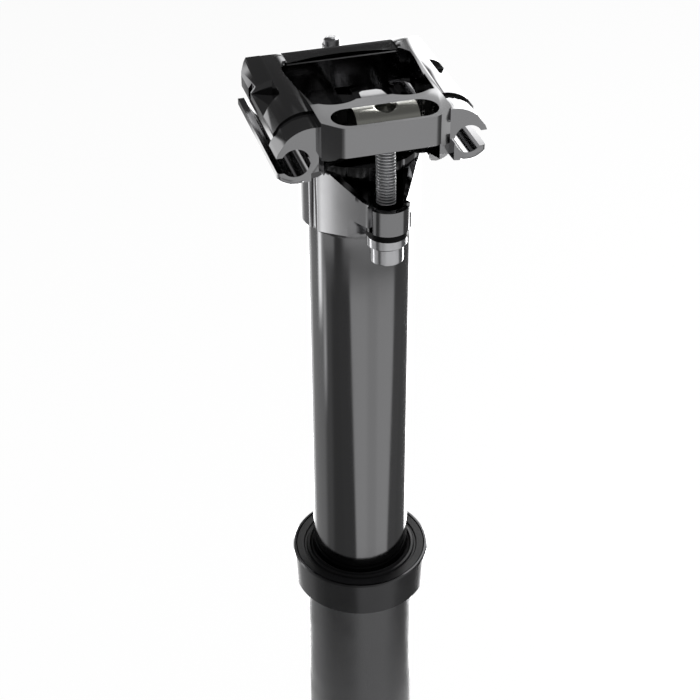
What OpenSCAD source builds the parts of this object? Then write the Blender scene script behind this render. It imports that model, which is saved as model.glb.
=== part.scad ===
// Dropper seatpost with a two-bolt saddle clamp and a cable-actuated valve.
// Millimetres. +Z runs up the post and -Y is the side of the near clamp bolt.
// The origin is on the post's axis, in the lower face of the collar.
// The post is drawn at full height, and its clamp is level.

/* [Lower post] */
// Outside diameter of the lower tube, which fits the seat tube
post_d = 31.6; // [31.2:0.1:34.9]
// Height of the collar
collar_h = 12; // [10:0.5:16]
// How far the collar stands out from the lower tube
collar_out = 4.1; // [3.6:0.1:6]
// Wall of the rim that holds the wiper seal
collar_rim = 0.8; // [0.6:0.1:1.2]
// Thickness of the threaded neck outside the lower tube's own wall
neck_out = 1.4; // [1.2:0.1:2]
// Depth of the bottom plug inside the lower tube
plug_h = 11; // [9:1:16]
// Thickness of the plug's flange under the lower tube
plug_flange = 3; // [2:0.5:5]

/* [Upper post] */
// Drop of the post from full height
travel = 100; // [75:5:150]
// Gap that is left between the collar and the head when the post is down
park_gap = 14; // [13:1:25]
// Outside diameter of the upper tube
upper_d = 27.5; // [26.5:0.1:27.8]
// Wall of the upper tube
upper_wall = 1.6; // [1.4:0.1:1.8]
// Length of upper tube that stays inside the lower tube at full height
overlap = 50; // [48:1:70]
// Length of the upper bushing
bush_l = 20; // [15:1:21]
// Wall of both bushings
bush_wall = 0.5; // [0.4:0.05:0.7]
// Length of a guide key
key_l = 14; // [10:1:15]
// Width of a guide key
key_w = 2.4; // [2:0.1:3]
// How far a guide key stands out of the upper tube
key_out = 1.1; // [0.9:0.05:1.2]
// Depth of the pocket that holds a guide key
key_in = 0.8; // [0.5:0.05:1]

/* [Head] */
// Diameter of the head's skirt
skirt_d = 31; // [30.4:0.1:33]
// Height from the skirt's lower edge to the top of the head
head_h = 20.3; // [20:0.1:21]
// Depth of the socket that takes the upper tube
socket_h = 15.5; // [12:0.5:16]
// Distance from the post's axis to each bolt's ear
ear_y = 23.9; // [23.5:0.1:26]
// Radius of the ear's rounded end
ear_r = 5.5; // [5.3:0.1:6]
// Height of the ear's flat underside above the skirt's lower edge
ear_rise = 8.4; // [8:0.1:9]
// Thickness of the ear
ear_t = 6.5; // [6:0.1:7]
// Depth of the pocket's floor below the top of the ear
tray_depth = 3.3; // [2.6:0.1:3.6]
// Wall on each side of the pocket above an ear
gusset_wall = 2; // [1.6:0.1:2.4]
// Radius of the curved seat that the cradle rolls on
seat_r = 24; // [20:1:30]
// Height of the seat's lowest line above the skirt's lower edge
seat_h = 19; // [18.5:0.1:19.2]

/* [Saddle clamp] */
// Diameter of a saddle rail
rail_d = 7; // [7:0.1:8]
// Distance between the two saddle rails
rail_spacing = 43.4; // [42.5:0.1:45]
// Height of the rails above the skirt's lower edge
rail_h = 27.1; // [26.8:0.1:29]
// How far the clamp's middle lies behind the post's axis
clamp_y = 1.5; // [0:0.1:2]
// Length of the cradle along the rails
cradle_l = 41.9; // [38:0.1:42.4]
// Length of the upper clamp's claws along the rails
claw_l = 43; // [40:0.2:44]
// Wall of the cradle's cups under the rails
cup_wall = 2.3; // [1.8:0.1:2.6]
// Distance from the clamp's middle to the front barrel nut
nut_y = 22.9; // [22.5:0.1:23.2]
// Distance from the clamp's middle to the rear barrel nut
rear_nut_y = 23.7; // [23.5:0.1:24.2]
// Radius of a barrel nut
nut_r = 4.2; // [3.8:0.1:4.2]
// Length of a barrel nut
nut_l = 17.8; // [14:0.2:22]
// Length of the slot that holds a barrel nut
slot_l = 26.4; // [25:0.2:27]
// Height of the front bar's top above the rails
bar_top = 10.9; // [10.5:0.1:12]
// Height of the front barrel nut's middle above the rails
nut_rise = 8.5; // [8.4:0.1:8.8]
// Height of the rear barrel nut's middle above the rails
rear_nut_rise = 1.6; // [1.4:0.1:2]
// Backward slope of the slot that holds the rear barrel nut
slot_tilt = 35; // [32:1:40]
// Thickness of the front bar, bottom to top
bar_h = 7.8; // [7.5:0.1:8]
// Half of the width of the front bar's flat face
face_half = 11.7; // [10:0.1:12.5]
// Reach of the front bar past the barrel nut's middle
bar_reach = 5.5; // [5.4:0.1:6.5]

/* [Clamp bolts] */
// Diameter of a clamp bolt
bolt_d = 5; // [5:0.1:5.2]
// Diameter of a bolt's head
bolt_head_d = 8.3; // [8:0.1:9]
// Height of a bolt's head
bolt_head_h = 4.7; // [4:0.1:6]
// Diameter of the washers
washer_d = 10.3; // [9.5:0.1:10.6]
// Height of the black washer's rim against the ear
washer_t = 2; // [1.8:0.1:2.6]
// Height of the flange washer's rim
flange_t = 2.7; // [2:0.1:3]
// Radius of the ball seat between the two washers
ball_r = 12; // [10:0.5:16]
// Length of a bolt's shank under its head
bolt_l = 33; // [32.5:0.5:34]

/* [Cartridge] */
// Diameter of the cartridge's shaft
shaft_d = 8; // [7:0.5:9]
// Bore of the cartridge tube
cart_bore = 20.4; // [19:0.2:20.8]
// Wall of the cartridge tube
cart_wall = 1.6; // [1.2:0.1:1.7]
// Height of the damper piston
piston_h = 8; // [6:1:10]
// Height of the floating piston
float_h = 12; // [8:1:14]
// Diameter of the long pin that opens the valve
pin_d = 3; // [2.4:0.1:3.4]

/* [Actuator] */
// Height of the actuator's bracket under the plug
bracket_h = 26; // [24:1:30]
// Distance from the post's axis to the lever's pivot
pivot_y = 5; // [4.5:0.1:5.5]
// Distance from the post's axis to the cable
cable_y = 12; // [11.5:0.1:12.2]
// Bore of the stop that takes the cable's housing
housing_d = 5.2; // [4.2:0.1:5.4]
// Width of the lever
lever_w = 5; // [4:0.2:6]

/* [Fits] */
// Gap round a sliding or turning fit
run_gap = 0.05; // [0.03:0.01:0.08]
// Gap between pieces that are screwed or bonded together
seat_gap = 0.04; // [0.02:0.01:0.08]
// Gap round pieces that pass each other freely
free_gap = 0.25; // [0.2:0.01:0.3]

/* [Hidden] */
$fn = 96;
eps = 0.01;
// Lower post
post_r = post_d / 2;
upper_r = upper_d / 2;
bore_r = upper_r + run_gap + bush_wall + seat_gap;
collar_r = post_r + collar_out;
neck_r = post_r + neck_out;
neck_top = collar_h - 4;
bush_z = 2.4 - bush_l;
seal_z = collar_h - 3;
tube_l = overlap + travel + 15;
plug_top = plug_h - tube_l;
oring_r = plug_h / 20;
oring_z = plug_top - 0.36 * plug_h;
plug_z = -tube_l - plug_flange;
key_r = upper_r + key_out;
groove_r = key_r + 0.15;
key_z = bush_z - 4 - key_l;
// Upper post
tube_bore = upper_r - upper_wall;
skirt_z = collar_h + travel + park_gap;
tube_top = skirt_z + socket_h - seat_gap;
skirt_r = skirt_d / 2;
low_bush_l = 7;
low_bush_z = 2 - overlap;
// Head
ear_z = skirt_z + ear_rise;
ear_top = ear_z + ear_t;
flare_r = ear_r - 0.4;
dome = ball_r - sqrt(ball_r * ball_r - washer_d * washer_d / 4);
ball_z = ear_z - washer_t + dome - ball_r;
tray_z = skirt_z + head_h - 2;
seat_z = skirt_z + seat_h + seat_r;
flare = asin((skirt_r - flare_r) / ear_y);
// Clamp
rail_x = rail_spacing / 2;
rail_z = skirt_z + rail_h;
rail_r = rail_d / 2 + 0.1;
cup_r = rail_r + cup_wall;
bar_z = rail_z + bar_top - bar_h;
roof_r = cup_r + 3.7;
roof_x = rail_x - 4.5;
side_x = rail_x - 6;
lip_x = rail_x + cup_r - 1.4;
slot_r = nut_r + free_gap;
nut_z = rail_z + nut_rise;
rear_nut_z = rail_z + rear_nut_rise;
front_nut = clamp_y - nut_y;
rear_nut = clamp_y + rear_nut_y;
rear_crest = bar_top - 1.8;
crest_y = rear_nut - 4;
front_y = front_nut - bar_reach;
rear_y = rear_nut + 4.8;
window_front = front_nut + 8.8;
window_rear = rear_nut - 10.3;
cradle_rear = clamp_y + claw_l / 2 - 1.3;
cradle_end = cradle_rear - cradle_l;
relief_r = bolt_d + 12;
relief_y = front_nut + 10.4;
house_half = slot_l / 2 + 1;
house_y = rear_nut - slot_r - 0.9;
claw_front = clamp_y - claw_l / 2;
claw_rear = clamp_y + claw_l / 2;
// Cartridge
shaft_r = shaft_d / 2;
pin_r = pin_d / 2;
pin_bore = pin_r + run_gap;
cart_r = cart_bore / 2;
cart_out = cart_r + cart_wall;
cart_z = -0.8 * overlap;
head_l = 0.49 * cart_bore;
bumper_h = 5.5;
piston_z = cart_z + head_l + bumper_h + 0.5;
piston_top = piston_z + piston_h;
swept = travel * pow(shaft_r / cart_r, 2);
float_z = piston_top + travel + 6 - swept;
cart_top = float_z + float_h + swept + 8;
cap_h = 0.4 * cart_bore;
// Actuator
bracket_r = post_r - 0.6;
bracket_z = plug_z - bracket_h;
disc_h = 3;
foot_h = 4;
cheek_t = 3;
pivot_z = plug_z - bracket_h / 2;
nose_r = 1.6;
pin_z = pivot_z + nose_r + 0.2;
barrel_r = 2.4;
spring_wire = 0.5;
spring_r = pin_r + 1.3;
spring_turns = 3;
cheek_x = max(lever_w / 2 + 0.4, spring_r + spring_wire / 2 + free_gap);
shaft_nut_h = 4;
spring_top = plug_z - shaft_nut_h - 0.3;
spring_low = pin_z + 2.8;

// A ring between two radii, standing on z
module ring(r_out, r_in, z, h) {
  translate([0, 0, z])
    difference() {
      cylinder(h = h, r = r_out);
      translate([0, 0, -eps]) cylinder(h = h + 2 * eps, r = r_in);
    }
}

// The children repeated at the three guide keys
module at_keys() {
  for (turn = [30, 150, 270]) rotate([0, 0, turn]) children();
}

// The children on the front side and mirrored on the rear side
module both_ends() {
  children();
  mirror([0, 1, 0]) children();
}

// The children on the right and mirrored on the left
module both_sides() {
  children();
  mirror([1, 0, 0]) children();
}

// A solid along X from an outline in Y and Z
module along_x(half) {
  rotate([90, 0, 90]) translate([0, 0, -half]) linear_extrude(2 * half) children();
}

// A solid along Y from an outline in X and Z
module along_y(y0, y1) {
  translate([0, y1, 0]) rotate([90, 0, 0]) linear_extrude(y1 - y0) children();
}

// Lower post

module outer_tube() {
  color("#1d1d1e")
    difference() {
      union() {
        translate([0, 0, -tube_l]) cylinder(h = tube_l + 1, r = post_r);
        cylinder(h = neck_top, r = neck_r);
      }
      translate([0, 0, -tube_l - eps]) cylinder(h = tube_l + neck_top + 2 * eps, r = bore_r);
      at_keys()
        translate([0, -key_w / 2 - 0.1, -tube_l - eps])
          cube([groove_r, key_w + 0.2, tube_l + key_z + key_l + 0.5]);
    }
}

module collar() {
  bead = 0.8;
  color("#151516")
    rotate_extrude()
      polygon([
        [neck_r + seat_gap, 0], [collar_r - 1.3, 0], [collar_r - 0.5, bead],
        [collar_r, collar_h - 0.5], [collar_r - 0.25, collar_h],
        [collar_r - collar_rim, collar_h], [collar_r - collar_rim, seal_z],
        [upper_r + 1.2, seal_z], [upper_r + 1.2, neck_top + seat_gap],
        [neck_r + seat_gap, neck_top + seat_gap]
      ]);
}

module wiper_seal() {
  r_out = collar_r - collar_rim - seat_gap;
  lip = upper_r + run_gap;
  color("#0e0e0f")
    rotate_extrude()
      polygon([
        [lip + 0.9, seal_z + seat_gap], [r_out, seal_z + seat_gap],
        [r_out, collar_h - 0.5], [r_out - 0.3, collar_h - 0.2],
        [lip + 3, collar_h - 0.25], [lip + 2.7, collar_h - 0.7], [lip + 2.2, collar_h - 0.7],
        [lip + 1.9, collar_h - 0.1], [lip + 1.3, collar_h], [lip + 0.9, collar_h - 0.6],
        [lip + 0.4, collar_h + 0.2], [lip, collar_h - 0.2], [lip, collar_h - 0.9]
      ]);
}

module foam_ring() {
  z = bush_z + bush_l + 0.2;
  color("#5c5a50") ring(bore_r - 0.1, upper_r + 0.3, z, neck_top - z - 0.1);
}

module upper_bushing() {
  color("#8a7a5c")
    ring(upper_r + run_gap + bush_wall, upper_r + run_gap, bush_z, bush_l);
}

module bottom_plug() {
  bore = shaft_r + seat_gap;
  color("#3a3a3c")
    rotate_extrude()
      polygon([
        [bore, plug_z], [post_r - 0.2, plug_z], [post_r - 0.2, -tube_l - seat_gap],
        [bore_r - seat_gap, -tube_l - seat_gap], [bore_r - seat_gap, oring_z - 2 * oring_r],
        [bore_r - 2.2 * oring_r, oring_z - 2 * oring_r],
        [bore_r - 2.2 * oring_r, oring_z + 2 * oring_r],
        [bore_r - seat_gap, oring_z + 2 * oring_r], [bore_r - seat_gap, plug_top],
        [shaft_r + 4, plug_top], [bore, plug_top - 2.5]
      ]);
}

module plug_seal() {
  color("#1a1a1a")
    translate([0, 0, oring_z]) rotate_extrude()
      translate([bore_r - 1.13 * oring_r, 0]) circle(r = oring_r, $fn = 24);
}

module cartridge_shaft() {
  z = plug_z - shaft_nut_h + 0.5;
  color("#c9cacc")
    difference() {
      union() {
        translate([0, 0, z]) cylinder(h = piston_z + 1 - z, r = shaft_r);
        translate([0, 0, piston_z + 1]) cylinder(h = piston_h - 2, r = shaft_r - 1);
        translate([0, 0, plug_top + seat_gap]) cylinder(h = 1.5, r = shaft_r + 1.2);
      }
      translate([0, 0, z - eps]) cylinder(h = piston_top - z, r = pin_bore);
    }
}

module shaft_nut() {
  color("#9a9b9e")
    difference() {
      translate([0, 0, plug_z - shaft_nut_h - seat_gap])
        cylinder(h = shaft_nut_h, r = shaft_r + 2.6, $fn = 6);
      translate([0, 0, plug_z - shaft_nut_h - 1])
        cylinder(h = shaft_nut_h + 2, r = shaft_r + seat_gap);
    }
}

module damper_piston() {
  z0 = piston_z + 1 + seat_gap;
  color("#b89a4a")
    rotate_extrude()
      polygon([
        [shaft_r - 1 + seat_gap, z0], [shaft_r + 0.6, z0], [shaft_r + 1, piston_z],
        [cart_r - 0.4, piston_z], [cart_r - run_gap, piston_z + 0.4],
        [cart_r - run_gap, piston_z + 2.6], [cart_r - 1.3, piston_z + 2.6],
        [cart_r - 1.3, piston_top - 2.6], [cart_r - run_gap, piston_top - 2.6],
        [cart_r - run_gap, piston_top - 0.4], [cart_r - 0.4, piston_top],
        [pin_bore + 0.2, piston_top], [pin_bore + 0.2, piston_top - 1 + seat_gap],
        [shaft_r - 1 + seat_gap, piston_top - 1 + seat_gap]
      ]);
}

module piston_seal() {
  color("#202021")
    ring(cart_r - run_gap, cart_r - 1.3 + seat_gap, piston_z + 2.6 + seat_gap,
         piston_h - 5.2 - 2 * seat_gap);
}

module top_out_bumper() {
  z = cart_z + head_l + 0.5 - 0.3;
  color("#2b2b2d")
    rotate_extrude()
      polygon([
        [shaft_r + seat_gap, z], [shaft_r + 2.6, z], [shaft_r + 3.2, z + bumper_h / 3],
        [shaft_r + 2.4, z + bumper_h / 2], [shaft_r + 3.2, z + bumper_h * 2 / 3],
        [shaft_r + 2.6, z + bumper_h], [shaft_r + seat_gap, z + bumper_h]
      ]);
}

// Actuator under the lower post

module actuator_bracket() {
  pin_hole = 1.25 + seat_gap;
  nut_room = shaft_r + 3;
  color("#2a2a2c")
    difference() {
      intersection() {
        translate([0, 0, bracket_z]) cylinder(h = bracket_h - seat_gap, r = bracket_r);
        union() {
          translate([0, 0, plug_z - disc_h - seat_gap]) cylinder(h = disc_h, r = bracket_r);
          both_sides()
            translate([cheek_x, 0, 0])
              rotate([90, 0, 90]) linear_extrude(cheek_t) cheek_outline();
          translate([-cheek_x - eps, -post_r, bracket_z])
            cube([2 * cheek_x + 2 * eps, post_r - 5, foot_h]);
        }
      }
      translate([0, 0, plug_z - disc_h - 1]) cylinder(h = disc_h + 2, r = nut_room);
      translate([0, 0, plug_z - shaft_nut_h - 0.6])
        cylinder(h = shaft_nut_h + 1, r = nut_room);
      translate([-post_r, -pivot_y, pivot_z]) rotate([0, 90, 0])
        cylinder(h = 2 * post_r, r = pin_hole);
      translate([0, -cable_y, bracket_z - eps]) cylinder(h = foot_h - 1 + eps, d = housing_d);
      translate([0, -cable_y, bracket_z]) cylinder(h = foot_h + 1, r = 0.9);
    }
}

// Side view of one of the bracket's cheeks
module cheek_outline() {
  polygon([
    [-post_r, plug_z - disc_h], [-post_r, bracket_z], [-4, bracket_z], [2, bracket_z + 6],
    [8, bracket_z + 12], [post_r - 3, plug_z - disc_h]
  ]);
}

module pivot_pin() {
  color("#b4b6b8")
    translate([-cheek_x - cheek_t, -pivot_y, pivot_z]) rotate([0, 90, 0])
      cylinder(h = 2 * (cheek_x + cheek_t), r = 1.25);
}

module actuator_lever() {
  tail = cable_y - pivot_y;
  color("#7d7f82")
    translate([0, -pivot_y, pivot_z])
      difference() {
        union() {
          lever_disc(pivot_y, nose_r);
          lever_disc(0, 2.8);
          lever_disc(-tail, barrel_r + 0.9);
          along_x(lever_w / 2)
            polygon([[pivot_y, nose_r - 0.2], [pivot_y, 0.2 - nose_r], [0, -2.6],
                     [-tail, -barrel_r - 0.6], [-tail, barrel_r + 0.6], [0, 2.6]]);
        }
        translate([-lever_w, 0, 0]) rotate([0, 90, 0]) cylinder(h = 2 * lever_w, r = 1.25 + run_gap);
        translate([-lever_w, -tail, 0]) rotate([0, 90, 0])
          cylinder(h = 2 * lever_w, r = barrel_r + run_gap);
        translate([-0.95, -tail - 5, -5]) cube([1.9, 7, 10]);
      }
}

// Disc across the lever, y from its pivot
module lever_disc(y, r) {
  translate([-lever_w / 2, y, 0]) rotate([0, 90, 0]) cylinder(h = lever_w, r = r);
}

module cable_barrel() {
  color("#c2a25a")
    difference() {
      translate([-lever_w / 2 - 0.3, -cable_y, pivot_z]) rotate([0, 90, 0])
        cylinder(h = lever_w + 0.6, r = barrel_r);
      translate([0, -cable_y, pivot_z - 5]) cylinder(h = 10, r = 0.8);
      translate([eps, -cable_y, pivot_z]) rotate([0, 90, 0]) cylinder(h = lever_w, r = 1);
    }
}

module cable_grub_screw() {
  color("#4a4a4c")
    difference() {
      translate([1.1, -cable_y, pivot_z]) rotate([0, 90, 0])
        cylinder(h = lever_w / 2 - 1, r = 1 - seat_gap / 2);
      translate([lever_w / 2 - 0.9, -cable_y, pivot_z]) rotate([0, 90, 0])
        cylinder(h = 2, r = 0.5, $fn = 6);
    }
}

// The valve pin's return spring is a helix of even pitch
module return_spring() {
  rings = spring_turns * 16;
  sides = 6;
  rise = spring_top - spring_low - spring_wire;
  function ring_point(i, j) =
    let (turn = 360 * spring_turns * i / rings, a = 360 * j / sides,
         r = spring_r + spring_wire / 2 * cos(a))
    [r * cos(turn), r * sin(turn),
     spring_low + spring_wire / 2 + rise * i / rings + spring_wire / 2 * sin(a)];
  points = [for (i = [0:rings]) for (j = [0:sides - 1]) ring_point(i, j)];
  walls = [for (i = [0:rings - 1]) for (j = [0:sides - 1])
    let (a = i * sides + j, b = i * sides + (j + 1) % sides)
    each [[a, a + sides, b], [b, a + sides, b + sides]]];
  ends = [[for (j = [0:sides - 1]) j], [for (j = [sides - 1:-1:0]) rings * sides + j]];
  color("#a8a9ab") polyhedron(points = points, faces = concat(walls, ends));
}

module actuator_pin() {
  color("#d0d1d3")
    union() {
      translate([0, 0, pin_z]) cylinder(h = piston_top - pin_z - 0.4, r = pin_r);
      translate([0, 0, pin_z + 1]) cylinder(h = 1.5, r = spring_r + spring_wire / 2);
    }
}

module valve_poppet() {
  color("#a4a5a8")
    translate([0, 0, piston_top + 0.02])
      union() {
        cylinder(h = 1.2, r = pin_r + 1.6);
        translate([0, 0, 1.2]) cylinder(h = 1, r1 = pin_r + 1.6, r2 = pin_r);
      }
}

// Upper post

module upper_tube() {
  color("#161617")
    difference() {
      translate([0, 0, -overlap]) cylinder(h = tube_top + overlap, r = upper_r);
      translate([0, 0, -overlap - 1]) cylinder(h = tube_top + overlap + 2, r = tube_bore);
      ring(upper_r + 1, upper_r - 0.3, low_bush_z, low_bush_l);
      at_keys()
        translate([upper_r - key_in, -key_w / 2 - seat_gap, key_z - seat_gap])
          cube([key_in + 2, key_w + 2 * seat_gap, key_l + 2 * seat_gap]);
    }
}

module guide_keys() {
  color("#c8a850")
    at_keys()
      translate([upper_r - key_in + seat_gap, -key_w / 2, key_z])
        cube([key_in + key_out - seat_gap, key_w, key_l]);
}

module lower_bushing() {
  color("#8a7a5c")
    ring(bore_r - run_gap, upper_r - 0.3 + seat_gap, low_bush_z + seat_gap,
         low_bush_l - 2 * seat_gap);
}

module cartridge_tube() {
  color("#a9abae") ring(cart_out, cart_r, cart_z, cart_top - cart_z);
}

module cartridge_cap() {
  color("#6e7073")
    union() {
      translate([0, 0, cart_top - 0.6 * cap_h]) cylinder(h = cap_h, r = cart_r - seat_gap);
      translate([0, 0, cart_top + seat_gap]) cylinder(h = cap_h, r = tube_bore - seat_gap);
      translate([0, 0, cart_top + cap_h - 1]) cylinder(h = cap_h, r = shaft_r - 0.2);
    }
}

module seal_head() {
  z = cart_z + eps;
  color("#5c5e61")
    rotate_extrude()
      polygon([
        [shaft_r + run_gap, z], [cart_r - seat_gap, z], [cart_r - seat_gap, z + head_l],
        [shaft_r + 2, z + head_l], [shaft_r + 1, z + head_l - 1],
        [shaft_r + run_gap, z + head_l - 1], [shaft_r + run_gap, z + 0.64 * head_l],
        [shaft_r + 2.2, z + 0.64 * head_l], [shaft_r + 2.2, z + 0.36 * head_l],
        [shaft_r + run_gap, z + 0.36 * head_l]
      ]);
}

module rod_seal() {
  color("#222223") ring(shaft_r + 2.1, shaft_r + run_gap, cart_z + 0.39 * head_l, 0.22 * head_l);
}

module cartridge_retainer() {
  z = 0.6 - overlap;
  color("#8d8f92")
    difference() {
      translate([0, 0, z]) cylinder(h = cart_z - seat_gap - z, r = tube_bore - seat_gap);
      translate([0, 0, z - 1]) cylinder(h = overlap, r = shaft_r + 1.8);
      for (turn = [0, 90])
        rotate([0, 0, turn]) translate([-cart_out, -1.5, z - 1]) cube([2 * cart_out, 3, 3]);
    }
}

module floating_piston() {
  z1 = float_z + float_h;
  color("#b0802e")
    rotate_extrude()
      polygon([
        [0, float_z], [cart_r - 0.5, float_z], [cart_r - run_gap, float_z + 0.5],
        [cart_r - run_gap, float_z + 4.6], [cart_r - 1.6, float_z + 4.6],
        [cart_r - 1.6, z1 - 4.6], [cart_r - run_gap, z1 - 4.6],
        [cart_r - run_gap, z1 - 0.5], [cart_r - 0.5, z1],
        [cart_r - 3, z1], [cart_r - 4, z1 - 5], [0, z1 - 5]
      ]);
}

module floating_piston_ring() {
  gap = float_h - 9.2;
  color("#1f1f20")
    ring(cart_r - run_gap, cart_r - 1.6 + seat_gap, float_z + 4.6 + seat_gap, gap - 2 * seat_gap);
}

// Head of the upper post

// An ear and the flare that runs from it to the skirt
module ear_block(h) {
  inset = 0.06;
  translate([0, -ear_y, 0]) cylinder(h = h, r = ear_r);
  linear_extrude(h)
    polygon([
      [(inset - skirt_r) * cos(flare), (inset - skirt_r) * sin(flare)],
      [(skirt_r - inset) * cos(flare), (inset - skirt_r) * sin(flare)],
      [flare_r * cos(flare), -flare_r * sin(flare) - ear_y],
      [-flare_r * cos(flare), -flare_r * sin(flare) - ear_y]
    ]);
}

// Side view of the space under half of the ears, which steps up to a spot face
module ear_underside() {
  spot = ear_y - washer_d / 2 - 0.9;
  polygon([
    [-1, skirt_z - 1], [skirt_r / 2, skirt_z], [spot, skirt_z + ear_rise - 5.2], [spot, ear_z],
    [ear_y + ear_r + 1, ear_z], [ear_y + ear_r + 1, skirt_z - 2], [-1, skirt_z - 2]
  ]);
}

// Side view of half of the space above the ear and the two walls that brace it
module ear_topside() {
  high = skirt_z + head_h + 1;
  polygon([
    [skirt_r - 3.6, high], [skirt_r - 3.6, tray_z], [ear_y - 1.5, ear_top],
    [ear_y + ear_r + 1, ear_top], [ear_y + ear_r + 1, high]
  ]);
}

// Pocket between an ear's bracing walls
module tray_pocket(h) {
  end_r = ear_r - gusset_wall + 0.4;
  root = skirt_r - 2;
  half = flare_r / cos(flare) + (ear_y - root) * tan(flare) - gusset_wall / cos(flare);
  translate([0, -ear_y, 0]) cylinder(h = h, r = end_r);
  linear_extrude(h)
    polygon([[0.05 - end_r, -ear_y], [end_r - 0.05, -ear_y], [half, -root], [-half, -root]]);
}

module post_head() {
  color("#232324")
    difference() {
      union() {
        translate([0, 0, skirt_z]) cylinder(h = head_h, r = skirt_r);
        difference() {
          both_ends()
            translate([0, 0, skirt_z]) ear_block(tray_z - skirt_z);
          both_ends() along_x(skirt_r + 1) mirror([1, 0]) ear_topside();
          both_ends() along_x(skirt_r + 1) mirror([1, 0]) ear_underside();
        }
      }
      translate([0, 0, skirt_z - 1]) cylinder(h = socket_h + 1, r = upper_r + seat_gap);
      translate([-skirt_r - 1, clamp_y, seat_z]) rotate([0, 90, 0])
        cylinder(h = 2 * skirt_r + 2, r = seat_r + free_gap);
      bolt_hole(-ear_y, front_nut, nut_z);
      bolt_hole(ear_y, rear_nut, rear_nut_z);
      both_ends()
        difference() {
          translate([0, 0, ear_top - tray_depth]) tray_pocket(head_h);
          translate([0, 0, skirt_z]) cylinder(h = 2 * head_h, r = skirt_r - 0.2);
        }
    }
}

// Hole through an ear for its leaning bolt
module bolt_hole(y0, y1, z1) {
  at_seat(y0, y1, z1) cylinder(h = ball_r + 14, r = bolt_d / 2 + 0.85);
}

// Saddle clamp

// Front view of the cradle: two cups joined by a web and a deeper belly
module cradle_front() {
  top = rail_z - 0.6;
  belly = rail_h - seat_h - 3.1;
  difference() {
    union() {
      for (side = [-1, 1]) translate([side * rail_x, rail_z]) circle(r = cup_r);
      translate([-rail_x, rail_z - 3.1]) square([2 * rail_x, 3.1]);
      polygon([
        [-side_x + 1, rail_z - 1], [-side_x + 2.2, rail_z - belly + 1.2], [-side_x + 5, rail_z - belly],
        [side_x - 5, rail_z - belly], [side_x - 2.2, rail_z - belly + 1.2], [side_x - 1, rail_z - 1]
      ]);
    }
    for (side = [-1, 1]) {
      translate([side * rail_x, rail_z]) circle(r = rail_r);
      translate([side * (rail_x + 4) - 4, rail_z - 2.2]) square([8, 20]);
      translate([side * (lip_x + 2) - 2, rail_z - 10]) square([4, 20]);
    }
    translate([-2 * rail_x, top]) square([4 * rail_x, 20]);
  }
}

// Front view of the web beside each cup, deeper at the cradle's front end
module cradle_gusset() {
  inner = skirt_r - 2.5;
  for (side = [-1, 1])
    polygon([
      [side * inner, rail_z - 2], [side * inner, rail_z - 4.4], [side * (inner + 2.4), rail_z - 5],
      [side * (rail_x - 1), rail_z - cup_r + 0.3], [side * (rail_x - 1), rail_z - rail_r - 0.5],
      [side * (rail_x - rail_r - 0.6), rail_z - 2]
    ]);
}

module lower_cradle() {
  foot_half = skirt_r - 3;
  color("#1b1b1c")
    difference() {
      union() {
        along_y(cradle_end, cradle_rear) cradle_front();
        along_y(cradle_end, cradle_end + 6) cradle_gusset();
        intersection() {
          translate([-foot_half, clamp_y, seat_z]) rotate([0, 90, 0])
            cylinder(h = 2 * foot_half, r = seat_r);
          translate([-foot_half, clamp_y - seat_r, skirt_z + seat_h - 1])
            cube([2 * foot_half, 2 * seat_r, rail_h - seat_h]);
        }
      }
      for (side = [-1, 1]) {
        translate([side * 6.8 - 5, relief_y + 3, rail_z - 3.4])
          cube([10, cradle_rear - relief_y - 7, 10]);
        translate([side * 14.5 - 1, cradle_end + 6, rail_z - 2]) cube([2, cradle_l - 12, 10]);
      }
      translate([0, relief_y - relief_r, rail_z - 12]) cylinder(h = 20, r = relief_r);
      translate([-house_half - 0.4, house_y - 0.5, seat_z - seat_r - 1])
        cube([2 * house_half + 0.8, cradle_l, seat_r]);
    }
}

// Front view of a roof that curves down over the rail, with its middle raised by lift
module roof_front_view(lift) {
  difference() {
    union() {
      translate([roof_x, rail_z - 1 + lift]) circle(r = roof_r);
      translate([side_x - 1.5, rail_z]) square([3, roof_r - 1 + lift]);
    }
    translate([rail_x, rail_z]) circle(r = rail_r);
    translate([-1, rail_z - 20]) square([rail_x + 1, 20.6]);
    translate([rail_x - 1, rail_z - 20]) square([20, 21.8]);
    translate([-1, rail_z - 20]) square([side_x, 40]);
  }
}

// Front view of one claw, with a flat on its shoulder and a thin tip
module claw_front_view(lift) {
  difference() {
    roof_front_view(lift);
    translate([roof_x, rail_z - 1 + lift])
      polygon([
        [roof_r * cos(47), roof_r * sin(47)], [roof_r * cos(25), roof_r * sin(25)],
        [roof_r + 3, roof_r * sin(25)], [roof_r + 3, roof_r], [roof_r * cos(47), roof_r]
      ]);
  }
}

// Plan of one flank behind the front claw, rounded off into the rear bar
module flank_plan() {
  out = rail_x + 3.6;
  polygon([
    [0, claw_front], [out, claw_front], [out, claw_rear - 2.5], [out - 0.3, claw_rear - 1.3],
    [out - 1.3, claw_rear + 0.6], [out - 2.9, claw_rear + 2.5], [out - 5.1, claw_rear + 4.2],
    [out - 8.3, claw_rear + 5.6], [out - 12.3, rear_y - 0.7], [0, rear_y - 0.7]
  ]);
}

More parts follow.
